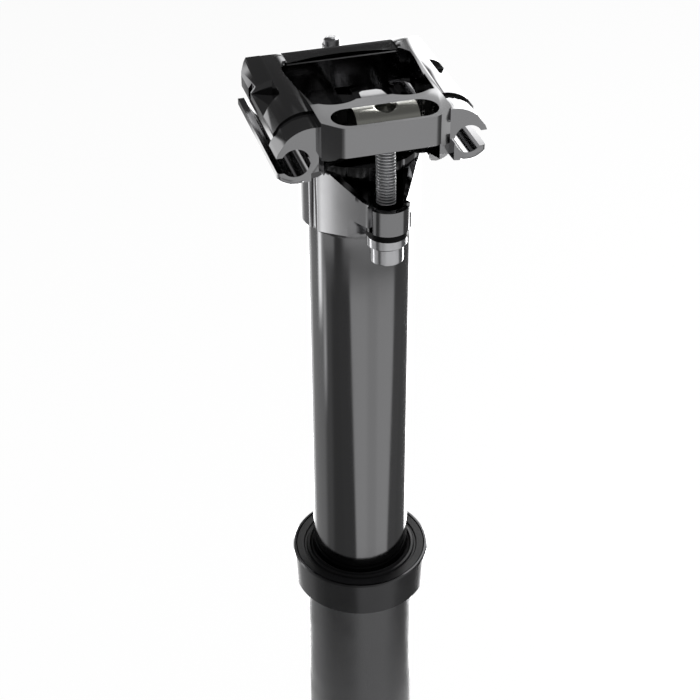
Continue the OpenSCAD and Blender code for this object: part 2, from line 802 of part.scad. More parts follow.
// Plan of the upper clamp's frame, without its window
module frame_plan() {
  corner = side_x + 0.3;
  slant = atan2(4.4, corner - face_half);
  // Each upright edge of the front bar is turned to a radius of 3
  cut = 3 * tan(slant / 2);
  bend = [for (i = [0:5]) let (a = i * slant / 5)
    [face_half - cut + 3 * sin(a), front_y + 3 - 3 * cos(a)]];
  right = concat(bend, [
    [corner, front_y + 4.4], [corner, clamp_y], [corner + 0.8, window_rear - 2],
    [corner + 0.4, rear_y - 5], [face_half + 1, rear_y - 0.6], [0, rear_y]
  ]);
  last = len(right) - 2;
  polygon(concat(right, [for (i = [last:-1:0]) [-right[i][0], right[i][1]]]));
}

// Side view of the upper clamp's frame: a flat front bar, a low middle and a crowned rear bar
module frame_side() {
  polygon([
    [front_y - 1, rail_z + 1], [window_front - 3, rail_z + 1], [window_front, rail_z + 0.6], [rear_y - 2, rail_z + 0.6], [rear_y + 1, rail_z + 1.4],
    [rear_y + 1, rail_z + rear_crest - 4.6], [crest_y + 0.4, rail_z + rear_crest - 0.1],
    [crest_y, rail_z + rear_crest], [window_rear, rail_z + rear_crest - 0.6],
    [window_front, rail_z + bar_top], [front_y - 1, rail_z + bar_top]
  ]);
}

// Side view of the housing that holds the rear barrel nut behind the cradle
module house_side() {
  low = rear_nut_z - slot_r - 1;
  polygon([
    [house_y, low], [rear_y - 2, low], [rear_y, low + 2], [rear_y, rail_z + 2],
    [house_y, rail_z + 2]
  ]);
}

// Front view of the arch under the front bar
module arch_front_view() {
  foot = side_x + 0.4;
  polygon([
    [-foot, rail_z], [-foot, rail_z + 1.05], [-foot + 1.5, rail_z + 1.4], [-foot + 2.7, rail_z + 2.1],
    [-foot + 3.6, bar_z], [foot - 3.6, bar_z], [foot - 2.7, rail_z + 2.1],
    [foot - 1.5, rail_z + 1.4], [foot, rail_z + 1.05], [foot, rail_z]
  ]);
}

// Plan of the window, with two scallops and a tongue at its front edge
module window_plan() {
  half = side_x - 0.5;
  deep = half - 1.2;
  difference() {
    union() {
      polygon([
        [-half, window_front], [half, window_front], [half + 0.8, clamp_y - 3.5],
        [half + 1.7, clamp_y + 6.5], [half + 1.8, window_rear - 3], [half - 0.1, window_rear],
        [-half + 0.1, window_rear], [-half - 1.8, window_rear - 3], [-half - 1.7, clamp_y + 6.5],
        [-half - 0.8, clamp_y - 3.5]
      ]);
      for (side = [-1, 1])
        intersection() {
          translate([side * (deep / 2 + 2.2), window_front + 6]) circle(r = 7.6);
          translate([side * half / 2 - half / 2, window_front - 3]) square([half, 6]);
        }
    }
    polygon([[-3.8, window_front - 4], [3.8, window_front - 4], [2.8, window_front + 3.6],
             [1.8, window_front + 4.4], [-1.8, window_front + 4.4], [-2.8, window_front + 3.6]]);
  }
}

// Slot for a barrel nut: a round seat that opens upwards, with rounded ends
module nut_slot(y, z, tilt) {
  half = slot_l / 2 - slot_r;
  translate([0, y, z]) rotate([-tilt, 0, 0]) {
    translate([-half, 0, 0]) rotate([0, 90, 0]) cylinder(h = 2 * half, r = slot_r);
    for (side = [-1, 1])
      translate([side * half, 0, 0]) {
        sphere(r = slot_r);
        cylinder(h = 12, r = slot_r);
      }
    translate([-half, -slot_r, 0]) cube([2 * half, 2 * slot_r, 12]);
  }
}

// Upright slot through a barrel nut's seat, long enough for the bolt's lean
module bolt_slot(y, z, rise) {
  reach = 0.9;
  slot = bolt_d / 2 + 0.5;
  translate([0, y, z - 12]) {
    for (side = [-1, 1]) translate([0, side * reach, 0]) cylinder(h = 12 + rise, r = slot);
    translate([-slot, -reach, 0]) cube([2 * slot, 2 * reach, 12 + rise]);
  }
}

// Side view of what is cut from the roofs, so that they fall away with the rear bar
module rear_fall() {
  polygon([
    [crest_y - 3, rail_z + rear_crest + 0.5], [crest_y, rail_z + rear_crest],
    [crest_y + 0.4, rail_z + rear_crest - 0.1], [rear_y + 1, rail_z + rear_crest - 4.6],
    [rear_y + 1, rail_z + 20], [crest_y - 3, rail_z + 20]
  ]);
}

module upper_clamp() {
  mid_front = claw_front + 7.2;
  color("#1b1b1c")
    difference() {
      union() {
        intersection() {
          translate([0, 0, rail_z]) linear_extrude(bar_top + 1) frame_plan();
          along_x(side_x + 2) frame_side();
        }
        along_x(house_half) house_side();
        both_sides() {
          along_y(claw_front, mid_front) claw_front_view(0);
          intersection() {
            along_y(mid_front - eps, claw_rear) claw_front_view(0.9);
            translate([0, 0, rail_z - 1]) linear_extrude(20) flank_plan();
          }
          intersection() {
            along_y(claw_rear - eps, rear_y) claw_front_view(0.9);
            translate([0, 0, rail_z + rail_r + 0.4]) linear_extrude(20) flank_plan();
            along_x(rail_x + 6) frame_side();
          }
        }
      }
      translate([0, 0, rail_z - 1]) linear_extrude(bar_top + 4) window_plan();
      along_y(front_y - 1, window_front + 1) arch_front_view();
      nut_slot(front_nut, nut_z, 0);
      nut_slot(rear_nut, rear_nut_z, slot_tilt);
      bolt_slot(front_nut, nut_z, 0);
      bolt_slot(rear_nut, rear_nut_z, 12);
      lens_slot();
      along_x(rail_x + 8) rear_fall();
      both_sides() {
        translate([0, 0, rail_z + rail_r + 1]) linear_extrude(20) flank_recess();
        flank_notch();
      }
    }
}

// Narrow slot with pointed ends along the rear bar's inner edge
module lens_slot() {
  arc_r = 60;
  crown = 2.2;
  translate([0, 0, rail_z + rear_crest - 4])
    linear_extrude(6)
      intersection() {
        translate([0, window_rear + 0.6 + crown - arc_r]) circle(r = arc_r, $fn = 192);
        translate([-side_x, window_rear + 0.6]) square([2 * side_x, 4]);
      }
}

// Plan of the recess in the clamp's flank, between the two claws
module flank_recess() {
  floor_x = rail_x - 1.3;
  polygon([
    [floor_x, clamp_y - 2.3], [floor_x + 6, clamp_y - 5.3], [floor_x + 6, clamp_y + 8.7],
    [floor_x, clamp_y + 5.7]
  ]);
}

// Small hollow behind the recess, where the flank thins to meet its rear claw
module flank_notch() {
  translate([rail_x + 2.6, clamp_y + 8.7, rail_z + 2.6])
    cube([8, 2.4, 20]);
}

// Clamp bolts, drawn upright with the ball seat's centre at the origin

module bolt_shape() {
  under = ball_r - dome - flange_t - seat_gap;
  tip = under + bolt_l;
  difference() {
    union() {
      translate([0, 0, under - bolt_head_h]) cylinder(h = bolt_head_h - 0.3, d = bolt_head_d);
      translate([0, 0, under - 0.3]) cylinder(h = 0.3, d1 = bolt_head_d, d2 = bolt_head_d - 0.6);
      translate([0, 0, under - 0.3]) cylinder(h = bolt_l - 0.5, d = bolt_d);
      translate([0, 0, tip - 0.8]) cylinder(h = 0.8, d1 = bolt_d, d2 = bolt_d - 1.2);
    }
    translate([0, 0, under - bolt_head_h - 1]) cylinder(h = 3.6, r = 2.31, $fn = 6);
  }
}

// Flange washer with a domed top
module flange_shape() {
  low = ball_r - dome - flange_t;
  difference() {
    intersection() {
      translate([0, 0, low]) cylinder(h = flange_t + dome + 1, d = washer_d - 0.2);
      sphere(r = ball_r, $fn = 128);
    }
    translate([0, 0, low - 1]) cylinder(h = ball_r, r = bolt_d / 2 + seat_gap);
  }
}

// Washer against the ear at y0, with a hollow seat for the flange's dome
module washer_at(y0, y1, z1) {
  difference() {
    translate([0, y0, ear_z - washer_t]) cylinder(h = washer_t - seat_gap, d = washer_d);
    translate([0, y0, ball_z]) sphere(r = ball_r + free_gap / 2, $fn = 128);
    at_seat(y0, y1, z1) cylinder(h = 20, r = bolt_d / 2 + 0.75);
  }
}

// Barrel nut with a chamfered notch over its thread
module nut_shape() {
  difference() {
    rotate([0, 90, 0]) translate([0, 0, -nut_l / 2]) cylinder(h = nut_l, r = nut_r);
    translate([0, 0, -nut_r - 1]) cylinder(h = 2 * nut_r + 2, r = bolt_d / 2 + run_gap);
    along_y(-nut_r - 1, nut_r + 1)
      polygon([[-2.7, nut_r - 1.2], [2.7, nut_r - 1.2], [4.9, nut_r + 1], [-4.9, nut_r + 1]]);
  }
}

// The children at the ball seat under the ear at y0, leaning towards a nut at y1 and z1
module at_seat(y0, y1, z1) {
  translate([0, y0, ball_z]) rotate([-atan2(y1 - y0, z1 - ball_z), 0, 0]) children();
}

// The children at a nut, leaning as the bolt from the ear at y0 does
module at_nut(y0, y1, z1) {
  translate([0, y1, z1]) rotate([-atan2(y1 - y0, z1 - ball_z), 0, 0]) children();
}

module front_bolt() {
  color("#8e8f92") at_seat(-ear_y, front_nut, nut_z) bolt_shape();
}

module front_flange() {
  color("#8e8f92") at_seat(-ear_y, front_nut, nut_z) flange_shape();
}

module front_washer() {
  color("#0f0f10") washer_at(-ear_y, front_nut, nut_z);
}

module front_barrel_nut() {
  color("#9c9c96") at_nut(-ear_y, front_nut, nut_z) nut_shape();
}

module rear_bolt() {
  color("#8e8f92") at_seat(ear_y, rear_nut, rear_nut_z) bolt_shape();
}

module rear_flange() {
  color("#8e8f92") at_seat(ear_y, rear_nut, rear_nut_z) flange_shape();
}

module rear_washer() {
  color("#0f0f10") washer_at(ear_y, rear_nut, rear_nut_z);
}

module rear_barrel_nut() {
  color("#9c9c96") at_nut(ear_y, rear_nut, rear_nut_z) nut_shape();
}

outer_tube();
collar();
wiper_seal();
foam_ring();
upper_bushing();
bottom_plug();
plug_seal();
cartridge_shaft();
shaft_nut();
damper_piston();
piston_seal();
top_out_bumper();
actuator_bracket();
pivot_pin();
actuator_lever();
cable_barrel();
cable_grub_screw();
return_spring();
actuator_pin();
valve_poppet();
upper_tube();
post_head();
guide_keys();
lower_bushing();
cartridge_tube();
cartridge_cap();
seal_head();
rod_seal();
cartridge_retainer();
floating_piston();
floating_piston_ring();
lower_cradle();
upper_clamp();
front_bolt();
front_washer();
front_flange();
front_barrel_nut();
rear_bolt();
rear_washer();
rear_flange();
rear_barrel_nut();
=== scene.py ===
"""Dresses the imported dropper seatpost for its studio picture.

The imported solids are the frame. They keep their places and get the finish of the real pieces.
Finer meshes replace some of them: bolts with rolled threads, a turned nut, and forgings with
rounded edges.
"""

from __future__ import annotations

import logging
import math
from collections.abc import Callable, Sequence
from dataclasses import dataclass, field
from enum import Enum
from functools import partial

import bmesh
import bpy
from mathutils import Matrix, Vector

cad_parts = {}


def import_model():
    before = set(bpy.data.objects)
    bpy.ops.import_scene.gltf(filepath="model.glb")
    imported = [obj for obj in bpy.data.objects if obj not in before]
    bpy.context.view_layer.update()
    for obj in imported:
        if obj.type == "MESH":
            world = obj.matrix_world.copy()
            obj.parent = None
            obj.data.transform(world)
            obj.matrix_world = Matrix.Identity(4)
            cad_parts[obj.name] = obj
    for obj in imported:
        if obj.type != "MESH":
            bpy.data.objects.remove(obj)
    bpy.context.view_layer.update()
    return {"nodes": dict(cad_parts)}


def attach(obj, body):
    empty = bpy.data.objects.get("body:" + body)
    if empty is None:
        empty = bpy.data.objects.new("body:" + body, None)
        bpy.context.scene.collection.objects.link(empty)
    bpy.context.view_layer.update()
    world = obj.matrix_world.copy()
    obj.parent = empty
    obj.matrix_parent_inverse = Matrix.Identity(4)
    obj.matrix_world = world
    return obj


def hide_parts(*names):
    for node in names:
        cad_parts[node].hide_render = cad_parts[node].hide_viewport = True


LOG = logging.getLogger("seatpost")
MM = 0.001
WHITE = (1.0, 1.0, 1.0, 1.0)

# Points this close are one point, and a cut this close to a point goes through it, in metres
WELD = 1e-6
CUT_SNAP = 1e-7
# Slack when a place is compared with a named one, in millimetres
NEAR_MM = 0.05
SLIVER_MM = 0.01

# Edges sharper than these stay crisp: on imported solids, forgings, bolts before and after their
# thread is wound, and nuts
PACKED_DEG = 30.0
FORGING_DEG = 32.0
BOLT_DEG = 40.0
THREAD_DEG = 50.0
NUT_DEG = 25.0


class Sense(Enum):
    """Which way a clamp bolt stands from the post's axis."""

    FRONT = -1
    REAR = 1


# ---------------------------------------------------------------- colour and node helpers


def linear(code: str) -> tuple[float, float, float, float]:
    """Turns an sRGB hex value into linear colour.

    Args:
        code: Six hex digits with a leading hash.

    Returns:
        Red, green, blue and alpha.
    """
    raw = [int(code[i : i + 2], 16) / 255 for i in (1, 3, 5)]
    return tuple(c / 12.92 if c <= 0.04045 else ((c + 0.055) / 1.055) ** 2.4 for c in raw) + (1.0,)


def emptied(block: bpy.types.Material | bpy.types.World) -> bpy.types.NodeTree:
    """Turns on the nodes of a material or a world and removes the ones it came with.

    Args:
        block: The material or the world.

    Returns:
        Its empty tree.
    """
    block.use_nodes = True
    block.node_tree.nodes.clear()
    return block.node_tree


def add_node(
    tree: bpy.types.NodeTree, kind: str, links: dict | None = None, **settings: object,
) -> bpy.types.Node:
    """Adds a node, sets what it is told, and links its inputs.

    Args:
        tree: The tree that takes the node.
        kind: The node's type name.
        links: Maps an input's name or number to a socket or a value.
        settings: Properties of the node.

    Returns:
        The new node.
    """
    node = tree.nodes.new(kind)
    for key, value in settings.items():
        setattr(node, key, value)
    for key, value in (links or {}).items():
        if isinstance(value, bpy.types.NodeSocket):
            tree.links.new(value, node.inputs[key])
        else:
            node.inputs[key].default_value = value
    return node


def maths(tree: bpy.types.NodeTree, operation: str, *inputs: object) -> bpy.types.NodeSocket:
    """Adds a Math node.

    Args:
        tree: The tree that takes the node.
        operation: What the node works out.
        inputs: Its sockets or values, in order.

    Returns:
        The socket of the result.
    """
    node = add_node(tree, "ShaderNodeMath", dict(enumerate(inputs)), operation=operation)
    return node.outputs[0]


# A Mix node has sockets for every kind of data: those of its two inputs and its result
MIX_SOCKETS: dict[str, tuple[int, int, int]] = {"FLOAT": (2, 3, 0), "RGBA": (6, 7, 2)}


def mix(
    tree: bpy.types.NodeTree, kind: str, factor: object, low: object, high: object,
) -> bpy.types.NodeSocket:
    """Adds a Mix node.

    Args:
        tree: The tree that takes the node.
        kind: A key of MIX_SOCKETS.
        factor: How much of the second input is taken.
        low: The first input.
        high: The second input.

    Returns:
        The socket of the result.
    """
    first, second, result = MIX_SOCKETS[kind]
    links = {0: factor, first: low, second: high}
    return add_node(tree, "ShaderNodeMix", links, data_type=kind).outputs[result]


def seen_or_mirrored(tree: bpy.types.NodeTree) -> bpy.types.NodeSocket:
    """Tells rays from the camera or a mirror from light that falls on things.

    Args:
        tree: The tree that takes the nodes.

    Returns:
        A socket that gives one for the former and nought for the latter.
    """
    path = add_node(tree, "ShaderNodeLightPath").outputs
    return maths(tree, "MAXIMUM", path["Is Camera Ray"], path["Is Glossy Ray"])


# ---------------------------------------------------------------- finishes


GRAIN_DETAIL = 3.0
BROAD_DETAIL = 2.0
BROAD_SCALE = 120.0
# Most of a noise lies between these values, which are stretched to the full spread of roughness
NOISE_LOW, NOISE_HIGH = 0.3, 0.7
TURNED_DEPTH_MM = 0.0015


@dataclass(frozen=True)
class Finish:
    """A surface: its colour, its shine, and the fine grain that breaks up its reflections."""

    name: str
    colour: str
    metallic: float
    roughness: float
    grain_mm: float = 0.25
    bump_mm: float = 0.0
    rough_spread: float = 0.05
    tint_spread: float = 0.06
    turned_mm: float = 0.0
    specular: float = 0.5

    def build(self) -> bpy.types.Material:
        """Makes the material's nodes."""
        mat = bpy.data.materials.new(self.name)
        tree = emptied(mat)
        place = add_node(tree, "ShaderNodeTexCoord").outputs["Object"]
        grain = add_node(
            tree, "ShaderNodeTexNoise",
            {"Vector": place, "Scale": 1 / (self.grain_mm * MM), "Detail": GRAIN_DETAIL},
        ).outputs["Fac"]
        broad = add_node(
            tree, "ShaderNodeTexNoise",
            {"Vector": place, "Scale": BROAD_SCALE, "Detail": BROAD_DETAIL},
        ).outputs["Fac"]
        rough = add_node(
            tree, "ShaderNodeMapRange",
            {"Value": broad, "From Min": NOISE_LOW, "From Max": NOISE_HIGH,
             "To Min": self.roughness - self.rough_spread,
             "To Max": self.roughness + self.rough_spread},
        ).outputs["Result"]
        base = linear(self.colour)[:3]
        low = tuple(c * (1 - self.tint_spread) for c in base) + (1.0,)
        high = tuple(min(1.0, c * (1 + self.tint_spread)) for c in base) + (1.0,)
        shader = add_node(
            tree, "ShaderNodeBsdfPrincipled",
            {"Base Color": mix(tree, "RGBA", grain, low, high), "Roughness": rough,
             "Metallic": self.metallic, "Specular IOR Level": self.specular},
        )
        if self.turned_mm:
            self._bump(tree, shader, self._rings(tree, place), TURNED_DEPTH_MM)
        elif self.bump_mm:
            self._bump(tree, shader, grain, self.bump_mm)
        add_node(tree, "ShaderNodeOutputMaterial", {"Surface": shader.outputs[0]})
        return mat

    def _rings(
        self, tree: bpy.types.NodeTree, place: bpy.types.NodeSocket,
    ) -> bpy.types.NodeSocket:
        """Makes the height of the rings that turning leaves, one feed apart along the axis."""
        along = add_node(tree, "ShaderNodeSeparateXYZ", {0: place}).outputs["Z"]
        return maths(tree, "SINE", maths(tree, "MULTIPLY", along, math.tau / (self.turned_mm * MM)))

    @staticmethod
    def _bump(
        tree: bpy.types.NodeTree, shader: bpy.types.Node, height: bpy.types.NodeSocket,
        depth_mm: float,
    ) -> None:
        """Presses a height into the shader's surface."""
        bump = add_node(
            tree, "ShaderNodeBump", {"Height": height, "Distance": depth_mm * MM, "Strength": 1.0},
        )
        tree.links.new(bump.outputs["Normal"], shader.inputs["Normal"])


FINISHES: dict[str, Finish] = {
    # Polished, black-anodised aluminium mirrors the studio at a fifth of its brightness
    "gloss_black": Finish(
        "black anodised aluminium, polished", "#787879", 1.0, 0.10,
        rough_spread=0.02, tint_spread=0.02),
    # The sliding tube is ground before anodising, so its reflections stay sharp along it
    "tube_black": Finish(
        "black anodised tube, ground", "#6F6F70", 1.0, 0.12, rough_spread=0.02, tint_spread=0.02),
    # The lower tube is bead-blasted, which leaves a fine grit that scatters the light
    "matte_black": Finish(
        "black anodised aluminium, bead-blasted", "#585859", 1.0, 0.34,
        grain_mm=0.35, bump_mm=0.05, tint_spread=0.12),
    "collar_black": Finish(
        "black anodised aluminium, satin", "#464647", 1.0, 0.22, rough_spread=0.03),
    # The forging is polished and anodised with the tube, so the two match where they meet
    "forged_black": Finish(
        "black anodised forging, polished", "#6F6F70", 1.0, 0.13,
        rough_spread=0.02, tint_spread=0.03),
    "plain_alu": Finish("machined aluminium", "#C9CACC", 1.0, 0.28, turned_mm=0.3),
    "dark_alu": Finish("dark anodised aluminium, satin", "#5A5A5C", 1.0, 0.33, rough_spread=0.04),
    # The barrel nut is turned bar with a warm, thin coating
    "nut_alu": Finish("turned nut, warm nickel coat", "#B2B2AB", 1.0, 0.26, rough_spread=0.03),
    "bolt_steel": Finish("zinc-plated steel", "#A2A2A4", 1.0, 0.20, rough_spread=0.04),
    # Rolled flanks scatter the light that the plain steel mirrors, and the thread's colour is
    # painted lighter than the bolt's same steel, a painted highlight on its ridges
    "thread_steel_lit": Finish("zinc-plated steel thread, painted lighter", "#DCDCDE", 1.0, 0.36, rough_spread=0.04),
    "shaft_steel": Finish("ground hard-chromed steel", "#D5D6D8", 1.0, 0.08, rough_spread=0.02),
    "spring_steel": Finish("drawn spring wire", "#9C9CA0", 1.0, 0.30),
    "brass": Finish("turned brass", "#C9A75C", 1.0, 0.27, turned_mm=0.25),
    "bushing": Finish(
        "woven bearing liner", "#7A6B4A", 0.0, 0.65, grain_mm=0.4, bump_mm=0.05, tint_spread=0.2),
    # Nitrile rubber has a soft, low sheen from its moulding
    "seal_rubber": Finish(
        "nitrile rubber, moulded", "#101011", 0.0, 0.42,
        grain_mm=0.3, bump_mm=0.01, specular=0.2),
    "washer_black": Finish(
        "black acetal washer", "#060607", 0.0, 0.40, rough_spread=0.03, specular=0.06),
    "foam": Finish(
        "oiled open-cell foam", "#4A4638", 0.0, 0.85, grain_mm=0.5, bump_mm=0.2, tint_spread=0.3),
}

NODE_FINISH: dict[str, str] = {
    # Lower post
    "outer_tube": "matte_black", "collar": "collar_black", "wiper_seal": "seal_rubber",
    "foam_ring": "foam", "upper_bushing": "bushing", "bottom_plug": "dark_alu",
    "plug_seal": "seal_rubber", "cartridge_shaft": "shaft_steel", "shaft_nut": "plain_alu",
    "damper_piston": "brass", "piston_seal": "seal_rubber", "top_out_bumper": "seal_rubber",
    "actuator_bracket": "dark_alu", "pivot_pin": "shaft_steel", "actuator_lever": "plain_alu",
    "cable_barrel": "brass", "cable_grub_screw": "bolt_steel", "return_spring": "spring_steel",
    "actuator_pin": "shaft_steel", "valve_poppet": "plain_alu",
    # Upper post
    "upper_tube": "tube_black", "post_head": "forged_black", "guide_keys": "brass",
    "lower_bushing": "bushing", "cartridge_tube": "plain_alu", "cartridge_cap": "dark_alu",
    "seal_head": "dark_alu", "rod_seal": "seal_rubber", "cartridge_retainer": "plain_alu",
    "floating_piston": "brass", "floating_piston_ring": "seal_rubber",
    # Saddle clamp
    "lower_cradle": "gloss_black", "upper_clamp": "gloss_black",
    "front_bolt": "bolt_steel", "front_washer": "washer_black", "front_flange": "bolt_steel",
    "front_barrel_nut": "nut_alu", "rear_bolt": "bolt_steel", "rear_washer": "washer_black",
    "rear_flange": "bolt_steel", "rear_barrel_nut": "nut_alu",
}


@dataclass
class Paintbox:
    """Builds each finish once and hands it out."""

    made: dict[str, bpy.types.Material] = field(default_factory=dict)

    def get(self, key: str) -> bpy.types.Material:
        """Returns the finish with this key."""
        if key not in self.made:
            self.made[key] = FINISHES[key].build()
        return self.made[key]

    def dress(self, obj: bpy.types.Object, key: str) -> None:
        """Puts one finish on a whole piece."""
        obj.data.materials.clear()
        obj.data.materials.append(self.get(key))


# ---------------------------------------------------------------- mesh helpers


def add_object(name: str, data: bpy.types.ID) -> bpy.types.Object:
    """Puts a mesh, a lamp or a camera into the scene.

    Args:
        name: The object's name.
        data: What it holds.

    Returns:
        The new object.
    """
    obj = bpy.data.objects.new(name, data)
    bpy.context.scene.collection.objects.link(obj)
    return obj


def mesh_object(name: str, bm: bmesh.types.BMesh, smooth_deg: float | None) -> bpy.types.Object:
    """Turns a bmesh into an object at the origin.

    Args:
        name: The piece's name.
        bm: Its mesh, which is freed.
        smooth_deg: Edges sharper than this stay crisp. With None, the faces stay flat.

    Returns:
        The new object.
    """
    mesh = bpy.data.meshes.new(name)
    bm.to_mesh(mesh)
    bm.free()
    obj = add_object(name, mesh)
    if smooth_deg is not None:
        mesh.shade_smooth()
        mesh.set_sharp_from_angle(angle=math.radians(smooth_deg))
    return obj


def apply_modifiers(obj: bpy.types.Object, name: str) -> bpy.types.Mesh:
    """Keeps what an object's modifiers make of it as its mesh.

    Args:
        obj: The object.
        name: The new mesh's name.

    Returns:
        The new mesh.
    """
    depsgraph = bpy.context.evaluated_depsgraph_get()
    mesh = bpy.data.meshes.new_from_object(obj.evaluated_get(depsgraph))
    obj.modifiers.clear()
    obj.data = mesh
    mesh.name = name
    return mesh


def neighbours(count: int) -> list[tuple[int, int]]:
    """Pairs each number of a closed ring with the next one.

    Args:
        count: How many there are.

    Returns:
        The pairs.
    """
    return [(i, (i + 1) % count) for i in range(count)]


def join_rings(bm: bmesh.types.BMesh, rings: Sequence[Sequence[bmesh.types.BMVert]]) -> None:
    """Fills the bands between rings that have the same number of points.

    Args:
        bm: The mesh that takes the faces.
        rings: The rings, in order.
    """
    for low, high in zip(rings, rings[1:]):
        for i, j in neighbours(len(low)):
            bm.faces.new((low[i], low[j], high[j], high[i]))


def lathe(
    bm: bmesh.types.BMesh, profile: Sequence[tuple[float, float]], sides: int,
) -> list[list[bmesh.types.BMVert]]:
    """Turns a profile round the Z axis.

    Args:
        bm: The mesh that takes the faces.
        profile: Pairs of radius and height, in millimetres.
        sides: The number of points on each ring.

    Returns:
        The rings, in the profile's order.
    """
    angles = [math.tau * i / sides for i in range(sides)]
    rings = [
        [bm.verts.new((r * MM * math.cos(a), r * MM * math.sin(a), z * MM)) for a in angles]
        for r, z in profile
    ]
    join_rings(bm, rings)
    return rings


def cut(
    bm: bmesh.types.BMesh, faces: Sequence[bmesh.types.BMFace], spot: Sequence[float],
    normal: Sequence[float],
) -> None:
    """Cuts faces along a plane and keeps both sides.

    Args:
        bm: The mesh.
        faces: The faces to cut.
        spot: A point of the plane.
        normal: The plane's normal.
    """
    edges = dict.fromkeys(e for f in faces for e in f.edges)
    verts = dict.fromkeys(v for f in faces for v in f.verts)
    geom = [*faces, *edges, *verts]
    bmesh.ops.bisect_plane(bm, geom=geom, dist=CUT_SNAP, plane_co=spot, plane_no=normal)


# ---------------------------------------------------------------- forgings


# What counts as an upright flat of the head that looks to a side
UPRIGHT_Z = 0.02
SIDEWAYS_X = 0.5
FLAT_MM2 = 20
SAME_WAY = 0.99999


def facing(bm: bmesh.types.BMesh, out: Vector) -> list[bmesh.types.BMFace]:
    """Finds the faces that look one way.

    Args:
        bm: The mesh.
        out: The direction.

    Returns:
        Those faces.
    """
    return [f for f in bm.faces if f.normal.dot(out) > SAME_WAY]


def crown_flanks(
    bm: bmesh.types.BMesh, end_deg: float = 5.0, strips: int = 12,
    level_cuts: Sequence[float] = (1.0, 3.5, 6.0, 8.0, 9.5, 11.0, 12.5, 14.0, 15.5, 16.6, 17.7),
) -> None:
    """Gives each upright flat of a forging the slight crown that a die leaves.

    Args:
        bm: The forging's mesh, with its flats merged.
        end_deg: How far a flat has turned in where it meets the ear.
        strips: The number of strips that carry the curve.
        level_cuts: Heights above the flat's foot, in millimetres, at which it is cut level.
    """
    fall = math.tan(math.radians(end_deg))
    flats = [
        f for f in bm.faces
        if abs(f.normal.z) < UPRIGHT_Z and abs(f.normal.x) > SIDEWAYS_X
        and f.calc_area() > FLAT_MM2 * MM * MM
    ]
    for normal in {tuple(round(c, 3) for c in f.normal) for f in flats}:
        out = Vector(normal).normalized()
        along = Vector((0, 0, 1)).cross(out)
        spots = [v.co.dot(along) for f in facing(bm, out) for v in f.verts]
        low, high = min(spots), max(spots)
        for i in range(1, strips):
            cut(bm, facing(bm, out), along * (low + (high - low) * i / strips), along)
        # Level cuts keep the shading of the rounded ends off the flank
        foot = min(v.co.z for f in facing(bm, out) for v in f.verts)
        for lift in level_cuts:
            cut(bm, facing(bm, out), (0, 0, foot + lift * MM), (0, 0, 1))
        moved = list(dict.fromkeys(v for f in facing(bm, out) for v in f.verts))
        ear_is_high = max(moved, key=lambda v: abs(v.co.y)).co.dot(along) > (low + high) / 2
        for vert in moved:
            share = (vert.co.dot(along) - low) / (high - low)
            share = share if ear_is_high else 1 - share
            vert.co -= out * (high - low) * (fall * share * share / 2)


def extrude_y(
    bm: bmesh.types.BMesh, outline: Sequence[tuple[float, float]], start: float, end: float,
    lean: float,
) -> None:
    """Adds a closed bar that runs along Y.

    Args:
        bm: The mesh that takes the bar.
        outline: The bar's section, as pairs of X and Z in millimetres.
        start: Where its near end is.
        end: Where its far end is.
        lean: How far the near end leans back per millimetre below the outline's top.
    """
    top = max(z for _, z in outline)
    near = [bm.verts.new((x * MM, (start + lean * (top - z)) * MM, z * MM)) for x, z in outline]
    far = [bm.verts.new((x * MM, end * MM, z * MM)) for x, z in outline]
    bm.faces.new(near)
    bm.faces.new(list(reversed(far)))
    for i, j in neighbours(len(outline)):
        bm.faces.new((near[j], near[i], far[i], far[j]))


@dataclass(frozen=True)
class CradleForm:
    """What a forging die adds to the cradle, in millimetres.

    Its cup ends stay full, the webs beside them are set back, and round shoulders hang below.
    """

    front_y: float = -20.2
    rail_x: float = 22.0
    rail_z: float = 153.1
    cup_from: float = 18.0
    cup_step: float = 0.2
    setback: float = 3.5
    groove_r: float = 3.6
    groove_wall: float = 1.0
    round_mm: float = 0.95
    round_segments: int = 4
    front_normal_y: float = 0.9
    shoulder: tuple[tuple[float, float], ...] = (
        (18.2, 149.0), (18.2, 146.4), (17.3, 145.1), (15.9, 144.5),
        (14.5, 144.9), (13.5, 146.2), (13.1, 147.6), (13.1, 149.0))
    shoulder_depth: float = 4.5
    shoulder_lean: float = 0.75

    def apply(self, bm: bmesh.types.BMesh) -> None:
        """Changes the cradle's mesh in place."""
        for side in (-1, 1):
            for spot in (self.cup_from - self.cup_step, self.cup_from):
                cut(bm, list(bm.faces), (side * spot * MM, 0, 0), (1, 0, 0))
        web_x, web_y = self.cup_from - self.cup_step / 2, self.front_y + NEAR_MM
        for vert in bm.verts:
            if abs(vert.co.x) < web_x * MM and vert.co.y < web_y * MM:
                vert.co.y += self.setback * MM
        rim = [edge for edge in bm.edges if self._is_rim(edge)]
        bmesh.ops.bevel(
            bm, geom=rim, offset=self.round_mm * MM, segments=self.round_segments, profile=0.5,
            affect="EDGES", clamp_overlap=False,
        )
        start = self.front_y + self.setback
        for side in (-1, 1):
            outline = [(side * x, z) for x, z in self.shoulder][::side]
            extrude_y(bm, outline, start, start + self.shoulder_depth, self.shoulder_lean)

    def _is_rim(self, edge: bmesh.types.BMEdge) -> bool:
        """Tells the outer rim of a cup's near end from its groove and from lines on its face."""
        for vert in edge.verts:
            past_cup = abs(vert.co.x) > (self.cup_from + NEAR_MM) * MM
            if abs(vert.co.y - self.front_y * MM) >= WELD or not past_cup:
                return False
        reach = min(
            math.hypot(abs(v.co.x) - self.rail_x * MM, v.co.z - self.rail_z * MM)
            for v in edge.verts
        )
        on_face = all(abs(f.normal.y) > self.front_normal_y for f in edge.link_faces)
        return reach > (self.groove_r + self.groove_wall) * MM and not on_face


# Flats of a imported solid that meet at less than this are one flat
MERGE_DEG = 0.6
ROUNDING_SEGMENTS = 3


